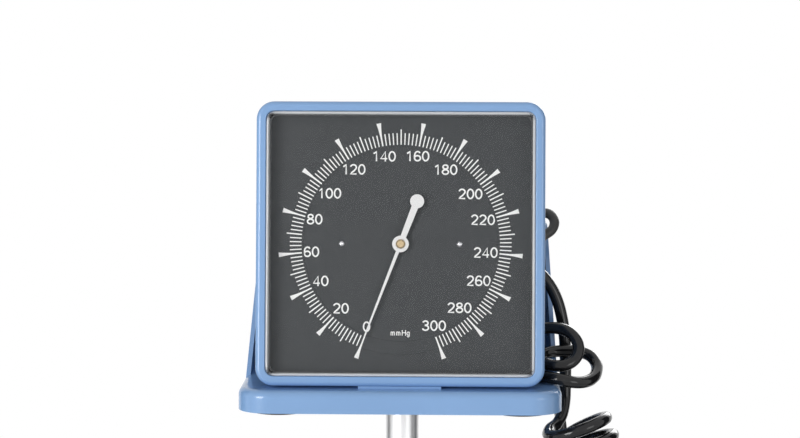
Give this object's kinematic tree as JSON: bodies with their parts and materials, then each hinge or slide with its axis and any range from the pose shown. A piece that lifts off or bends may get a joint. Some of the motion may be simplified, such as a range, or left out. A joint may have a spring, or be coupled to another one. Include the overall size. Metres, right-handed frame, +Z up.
{
  "type": "aneroid sphygmomanometer on wheeled stand",
  "caption": "Clock-dial aneroid blood pressure gauge with a cuff basket and coiled hose, on a height-adjustable pole over a five-armed castor base.",
  "frame": {"origin": "on the floor, on the axis of the pole", "axes": "+Z up along the pole, the dial faces -Y, +X to the reader's right"},
  "size_m": [0.5324, 0.5328, 1.0579],
  "materials": {
    "blue_shell": "glossy light blue moulding",
    "blue_case": "satin blue moulding",
    "clear_lens": "polished clear acrylic",
    "seal_rubber": "matte",
    "foot_rubber": "matte",
    "dial_print": "fine matte dark grey with white scale",
    "pointer_white": "white enamel",
    "brass": "turned",
    "movement_brass": "stamped and brushed",
    "capsule_bronze": "rolled bronze sheet",
    "shaft_steel": "ground",
    "screw_steel": "zinc plated",
    "satin_tube": "satin chrome tube",
    "black_moulding": "fine grained black moulding",
    "knob_black": "smooth black moulding",
    "nylon": "natural nylon",
    "castor_steel": "bright zinc plated pressing",
    "wheel_tread": "dark grey tread on a grey hub",
    "pedal_grey": "smooth grey moulding",
    "hose_black": "glossy black",
    "tube_grey": "matte dark grey",
    "fitting_chrome": "bright plated",
    "cuff_cloth": "woven navy nylon",
    "bulb_rubber": "satin black"
  },
  "bodies": {
    "base": {"star_base": "black_moulding", "hub_cap": "blue_shell", "base_bolt": "screw_steel", "fixed_tube": "satin_tube", "height_collar": "black_moulding"},
    "height_screw": {"height_knob": "knob_black"},
    "pole": {"sliding_tube": "satin_tube", "guide_bush": "nylon"},
    "basket": {"tray": "blue_shell", "rubber_feet": "foot_rubber", "pole_socket": "black_moulding", "socket_screws": "screw_steel", "head_bracket": "blue_case", "bracket_screws": "screw_steel", "rear_case": "blue_case", "case_screws": "screw_steel", "bezel": "blue_shell", "lens": "clear_lens", "lens_seal": "seal_rubber", "dial_plate": "dial_print", "dial_screws": "screw_steel", "front_plate": "movement_brass", "back_plate": "movement_brass", "pillars": "movement_brass", "capsule": "capsule_bronze", "port_fitting": "brass", "port_nut": "brass", "hose_elbow": "hose_black", "hose_lead": "hose_black", "hose_coil": "hose_black", "hose_return": "hose_black", "hose_connector": "fitting_chrome", "cuff": "cuff_cloth", "cuff_tube": "tube_grey", "bulb_tube": "tube_grey", "bulb": "bulb_rubber", "valve_body": "fitting_chrome", "inlet_valve": "fitting_chrome"},
    "socket_screw": {"socket_knob": "knob_black"},
    "needle": {"pointer": "pointer_white", "pointer_boss": "brass", "arbor_pinion": "shaft_steel", "hairspring": "movement_brass"},
    "sector": {"sector_gear": "movement_brass"},
    "rocker": {"rocking_shaft": "shaft_steel"},
    "plunger": {"push_pin": "brass"},
    "release": {"valve_screw": "fitting_chrome"},
    "fork_1": {"castor_1": "castor_steel"},
    "roller_1": {"wheel_1": "wheel_tread"},
    "pedal_1": {"brake_lever_1": "pedal_grey"},
    "fork_2": {"castor_2": "castor_steel"},
    "roller_2": {"wheel_2": "wheel_tread"},
    "pedal_2": {"brake_lever_2": "pedal_grey"},
    "fork_3": {"castor_3": "castor_steel"},
    "roller_3": {"wheel_3": "wheel_tread"},
    "fork_4": {"castor_4": "castor_steel"},
    "roller_4": {"wheel_4": "wheel_tread"},
    "fork_5": {"castor_5": "castor_steel"},
    "roller_5": {"wheel_5": "wheel_tread"}
  },
  "joints": [
    {"name": "pole_height", "type": "slide", "parent": "base", "child": "pole", "axis": [0, 0, 1], "range_m": [0, 0.25]},
    {"name": "basket_turn", "type": "hinge", "parent": "pole", "child": "basket", "pos_m": [0, 0, 0.884], "axis": [0, 0, 1], "range_deg": [-180, 180]},
    {"name": "height_screw_turn", "type": "hinge", "parent": "base", "child": "height_screw", "pos_m": [0.02, 0, 0.592], "axis": [1, 0, 0], "range_deg": [0, 270]},
    {"name": "socket_screw_turn", "type": "hinge", "parent": "basket", "child": "socket_screw", "pos_m": [0, 0.02, 0.8791], "axis": [0, 1, 0], "range_deg": [0, 270]},
    {"name": "release_turn", "type": "hinge", "parent": "basket", "child": "release", "pos_m": [0.0555, 0.04855, 0.97559], "axis": [0, 0, 1], "range_deg": [0, 270]},
    {"name": "sector_swing", "type": "hinge", "parent": "basket", "child": "sector", "pos_m": [0, -0.04559, 0.94736], "axis": [0, -0.9945, 0.1045], "range_deg": [0, 31.8]},
    {"name": "needle_turn", "type": "hinge", "parent": "basket", "child": "needle", "pos_m": [0, -0.0543, 0.97925], "axis": [0, 0.9945, -0.1045], "range_deg": [0, 318.2], "deforming": ["hairspring"]},
    {"name": "rocker_swing", "type": "hinge", "parent": "basket", "child": "rocker", "pos_m": [-0.00135, -0.03819, 0.94306], "axis": [0, 0.1045, 0.9945], "range_deg": [0, 25.4]},
    {"name": "plunger_push", "type": "slide", "parent": "basket", "child": "plunger", "axis": [0, -0.9945, 0.1045], "range_m": [0, 0.00122]},
    {"name": "swivel_1", "type": "hinge", "parent": "base", "child": "fork_1", "pos_m": [-0.13813, -0.19012, 0.062], "axis": [0, 0, 1], "continuous": true},
    {"name": "roll_1", "type": "hinge", "parent": "fork_1", "child": "roller_1", "pos_m": [-0.14871, -0.20468, 0.025], "axis": [0.809, -0.5878, 0], "continuous": true},
    {"name": "brake_press_1", "type": "hinge", "parent": "fork_1", "child": "pedal_1", "pos_m": [-0.16042, -0.2208, 0.04875], "axis": [0.809, -0.5878, 0], "range_deg": [-11, 0]},
    {"name": "swivel_2", "type": "hinge", "parent": "base", "child": "fork_2", "pos_m": [0.13813, -0.19012, 0.062], "axis": [0, 0, 1], "continuous": true},
    {"name": "roll_2", "type": "hinge", "parent": "fork_2", "child": "roller_2", "pos_m": [0.14871, -0.20468, 0.025], "axis": [0.809, 0.5878, 0], "continuous": true},
    {"name": "brake_press_2", "type": "hinge", "parent": "fork_2", "child": "pedal_2", "pos_m": [0.16042, -0.2208, 0.04875], "axis": [0.809, 0.5878, 0], "range_deg": [-11, 0]},
    {"name": "swivel_3", "type": "hinge", "parent": "base", "child": "fork_3", "pos_m": [0.2235, 0.07262, 0.062], "axis": [0, 0, 1], "continuous": true},
    {"name": "roll_3", "type": "hinge", "parent": "fork_3", "child": "roller_3", "pos_m": [0.24062, 0.07818, 0.025], "axis": [-0.309, 0.9511, 0], "continuous": true},
    {"name": "swivel_4", "type": "hinge", "parent": "base", "child": "fork_4", "pos_m": [0, 0.235, 0.062], "axis": [0, 0, 1], "continuous": true},
    {"name": "roll_4", "type": "hinge", "parent": "fork_4", "child": "roller_4", "pos_m": [0, 0.253, 0.025], "axis": [-1, 0, 0], "continuous": true},
    {"name": "swivel_5", "type": "hinge", "parent": "base", "child": "fork_5", "pos_m": [-0.2235, 0.07262, 0.062], "axis": [0, 0, 1], "continuous": true},
    {"name": "roll_5", "type": "hinge", "parent": "fork_5", "child": "roller_5", "pos_m": [-0.24062, 0.07818, 0.025], "axis": [-0.309, -0.9511, 0], "continuous": true}
  ],
  "couplings": [
    {"joint": "needle_turn", "follows": "sector_swing", "ratio": 10},
    {"joint": "rocker_swing", "follows": "sector_swing", "ratio": 0.79164},
    {"joint": "plunger_push", "follows": "sector_swing", "m_per_rad": 0.0021595}
  ]
}
